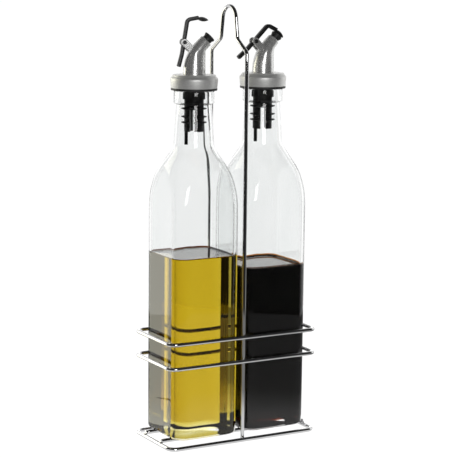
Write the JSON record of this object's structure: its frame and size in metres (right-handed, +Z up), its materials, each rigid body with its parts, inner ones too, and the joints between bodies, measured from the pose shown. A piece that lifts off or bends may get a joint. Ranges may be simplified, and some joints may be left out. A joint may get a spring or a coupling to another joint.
{
  "type": "cruet set",
  "caption": "Oil and vinegar cruet set: square glass bottles with flip-lever pourers standing in a chromed wire rack with guard rings and a carry hoop.",
  "frame": {"origin": "centre of the rack's footprint, on the table", "axes": "+X along the rack from the oil bottle to the vinegar bottle, +Y from front to back, +Z up"},
  "size_m": [0.1332, 0.0646, 0.3422],
  "materials": {
    "chrome_wire": "bright chromed steel wire",
    "glass": "clear polished glass",
    "satin_metal": "satin metallised",
    "bright_metal": "semi-bright metallised",
    "black_rubber": "soft matt black",
    "black_plastic": "moulded black",
    "olive_oil": "clear golden oil",
    "balsamic_vinegar": "dark brown vinegar"
  },
  "bodies": {
    "rack": {"base_frame": "chrome_wire", "front_support_wire": "chrome_wire", "rear_support_wire": "chrome_wire", "lower_guard_ring": "chrome_wire", "upper_guard_ring": "chrome_wire", "carry_handle": "chrome_wire"},
    "oil_glass": {"oil_bottle": "glass"},
    "oil_pourer": {"oil_gasket": "black_rubber", "oil_stopper": "black_rubber", "oil_stem": "black_plastic", "oil_air_tube": "black_plastic", "oil_cap": "satin_metal", "oil_spout": "bright_metal", "oil_nozzle": "black_rubber", "oil_hinge_bracket": "bright_metal", "oil_hinge_pin": "black_plastic"},
    "oil_flip": {"oil_lever": "black_plastic", "oil_lever_seal": "black_rubber"},
    "vinegar_glass": {"vinegar_bottle": "glass"},
    "vinegar_pourer": {"vinegar_gasket": "black_rubber", "vinegar_stopper": "black_rubber", "vinegar_stem": "black_plastic", "vinegar_air_tube": "black_plastic", "vinegar_cap": "satin_metal", "vinegar_spout": "bright_metal", "vinegar_nozzle": "black_rubber", "vinegar_hinge_bracket": "bright_metal", "vinegar_hinge_pin": "black_plastic"},
    "vinegar_flip": {"vinegar_lever": "black_plastic", "vinegar_lever_seal": "black_rubber"}
  },
  "joints": [
    {"name": "oil_bottle_lift", "type": "slide", "parent": "rack", "child": "oil_glass", "axis": [0, 0, 1], "range_m": [0, 0.1]},
    {"name": "oil_pourer_lift", "type": "slide", "parent": "oil_glass", "child": "oil_pourer", "axis": [0, 0, 1], "range_m": [0, 0.05]},
    {"name": "oil_lever_flip", "type": "hinge", "parent": "oil_pourer", "child": "oil_flip", "pos_m": [-0.03881, 0.00217, 0.3131], "axis": [-0.2588, -0.9659, 0], "range_deg": [-36, 4]},
    {"name": "vinegar_bottle_lift", "type": "slide", "parent": "rack", "child": "vinegar_glass", "axis": [0, 0, 1], "range_m": [0, 0.1]},
    {"name": "vinegar_pourer_lift", "type": "slide", "parent": "vinegar_glass", "child": "vinegar_pourer", "axis": [0, 0, 1], "range_m": [0, 0.05]},
    {"name": "vinegar_lever_flip", "type": "hinge", "parent": "vinegar_pourer", "child": "vinegar_flip", "pos_m": [0.0223, 0, 0.3131], "axis": [0, -1, 0], "range_deg": [0, 40]}
  ]
}
